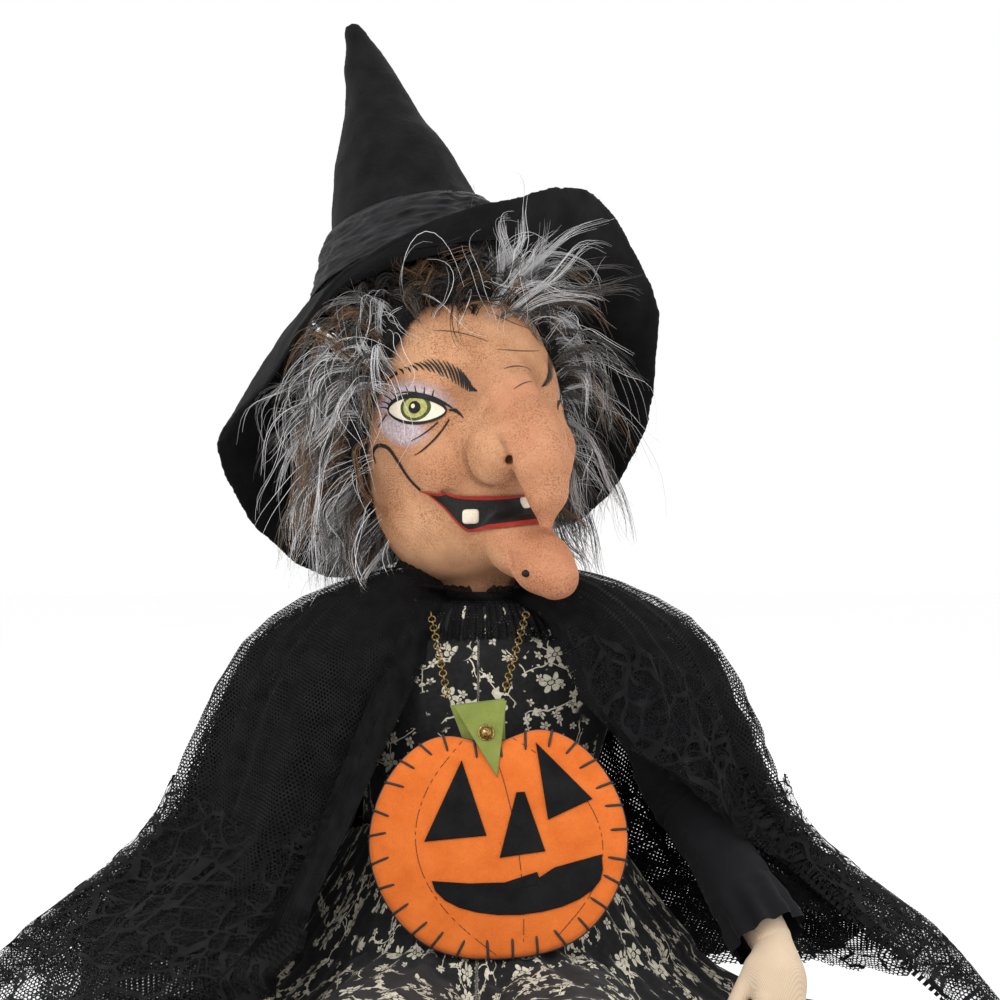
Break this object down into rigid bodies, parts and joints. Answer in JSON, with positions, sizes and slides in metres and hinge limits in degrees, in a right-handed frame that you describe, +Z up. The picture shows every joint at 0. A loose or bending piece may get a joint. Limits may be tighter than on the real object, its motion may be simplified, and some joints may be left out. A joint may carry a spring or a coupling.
{
  "type": "animated witch figure",
  "caption": "Seated cloth witch figure with a tall felt hat, net cape, floral dress and pumpkin purse; a battery gearmotor turns its head, and its forearms and shins bend.",
  "frame": {"origin": "on the neck axis at the underside of the base the figure sits on", "axes": "+Z up along the neck axis; the figure's chest faces -Y, its left side is +X"},
  "size_m": [0.688, 0.6956, 0.6894],
  "materials": {
    "face_cloth": "painted cotton, faint weave",
    "muslin": "plain woven cotton",
    "black_felt": "pressed wool felt",
    "crushed_band": "crushed panne cloth",
    "hair": "long pile fur",
    "black_net": "hexagonal net in layers",
    "floral_cotton": "printed cotton",
    "black_cotton": "plain woven cotton",
    "striped_knit": "striped knitted stocking",
    "boot_leather": "soft black leather cloth",
    "orange_felt": "pressed wool felt",
    "black_felt_face": "pressed wool felt",
    "green_felt": "pressed wool felt",
    "aged_brass": "antiqued",
    "steel": "drawn wire and plate",
    "zinc_screws": "bright zinc",
    "black_plastic": "moulded, fine texture",
    "white_acetal": "moulded gear plastic",
    "motor_case": "plated can",
    "cell_wrap": "plain printed sleeve",
    "lead_cover": "matt sleeve",
    "plywood": "sanded birch ply"
  },
  "bodies": {
    "figure": {"base_box": "black_plastic", "battery_cells": "cell_wrap", "battery_contacts": "zinc_screws", "post_flange": "black_plastic", "flange_screws": "zinc_screws", "spine_post": "steel", "neck_bush": "white_acetal", "gearmotor": "motor_case", "motor_screws": "zinc_screws", "shoulder_plate": "steel", "rod_saddles": "black_plastic", "motor_lead": "lead_cover", "torso_stuffing": "muslin", "dress_bodice": "floral_cotton", "dress_skirt": "floral_cotton", "cape_left": "black_net", "cape_right": "black_net", "cape_collar": "black_net", "purse_chain": "aged_brass", "arm_rod_left": "steel", "elbow_pin_left": "steel", "upper_arm_left": "muslin", "sleeve_left": "black_cotton", "thigh_left": "striped_knit", "knee_cloth_left": "striped_knit", "arm_rod_right": "steel", "elbow_pin_right": "steel", "upper_arm_right": "muslin", "sleeve_right": "black_cotton", "thigh_right": "striped_knit", "knee_cloth_right": "striped_knit"},
    "head": {"neck_shaft": "steel", "neck_gear": "white_acetal", "head": "face_cloth", "head_board": "plywood", "wig": "hair", "hat_crown": "black_felt", "hat_band": "crushed_band", "hat_brim": "black_felt"},
    "pinion": {"motor_pinion": "white_acetal"},
    "forearm_left": {"forearm_rod_left": "steel", "forearm_left": "muslin", "hand_left": "muslin"},
    "forearm_right": {"forearm_rod_right": "steel", "forearm_right": "muslin", "hand_right": "muslin"},
    "shin_left": {"shin_left": "striped_knit", "boot_left": "boot_leather"},
    "shin_right": {"shin_right": "striped_knit", "boot_right": "boot_leather"},
    "purse": {"purse_front": "orange_felt", "purse_back": "orange_felt", "purse_face": "black_felt_face", "purse_tab": "green_felt"},
    "flap": {"purse_flap": "green_felt", "flap_bead": "aged_brass"},
    "battery_door": {"battery_door": "black_plastic"},
    "power_switch": {"power_switch": "black_plastic"}
  },
  "joints": [
    {"name": "head_turn", "type": "hinge", "parent": "figure", "child": "head", "pos_m": [0, 0, 0.3], "axis": [0, 0, 1], "range_deg": [-60, 5]},
    {"name": "motor_spin", "type": "hinge", "parent": "figure", "child": "pinion", "pos_m": [0.03215, 0, 0.27], "axis": [0, 0, 1], "range_deg": [-20, 185]},
    {"name": "elbow_left", "type": "hinge", "parent": "figure", "child": "forearm_left", "pos_m": [0.13, -0.03, 0.175], "axis": [-0.9045, -0.1658, -0.393], "range_deg": [0, 50], "deforming": ["sleeve_left", "cape_left"]},
    {"name": "elbow_right", "type": "hinge", "parent": "figure", "child": "forearm_right", "pos_m": [-0.13, -0.03, 0.175], "axis": [-0.8328, -0.2528, 0.4924], "range_deg": [0, 50], "deforming": ["sleeve_right", "cape_right"]},
    {"name": "knee_left", "type": "hinge", "parent": "figure", "child": "shin_left", "pos_m": [0.064, -0.296, 0.03], "axis": [1, 0, 0], "range_deg": [0, 80], "deforming": ["knee_cloth_left"]},
    {"name": "knee_right", "type": "hinge", "parent": "figure", "child": "shin_right", "pos_m": [-0.064, -0.296, 0.03], "axis": [1, 0, 0], "range_deg": [0, 80], "deforming": ["knee_cloth_right"]},
    {"name": "purse_swing", "type": "hinge", "parent": "figure", "child": "purse", "pos_m": [-0.00216, -0.08925, 0.24265], "axis": [-1, 0, 0], "range_deg": [0, 50]},
    {"name": "flap_lift", "type": "hinge", "parent": "purse", "child": "flap", "pos_m": [0.00011, -0.0982, 0.24077], "axis": [-1, 0, 0], "range_deg": [0, 110]},
    {"name": "door_slide", "type": "slide", "parent": "figure", "child": "battery_door", "axis": [0, 1, 0], "range_m": [0, 0.06]},
    {"name": "switch_slide", "type": "slide", "parent": "figure", "child": "power_switch", "axis": [1, 0, 0], "range_m": [0, 0.004]}
  ],
  "couplings": [
    {"joint": "motor_spin", "follows": "head_turn", "ratio": -3}
  ]
}
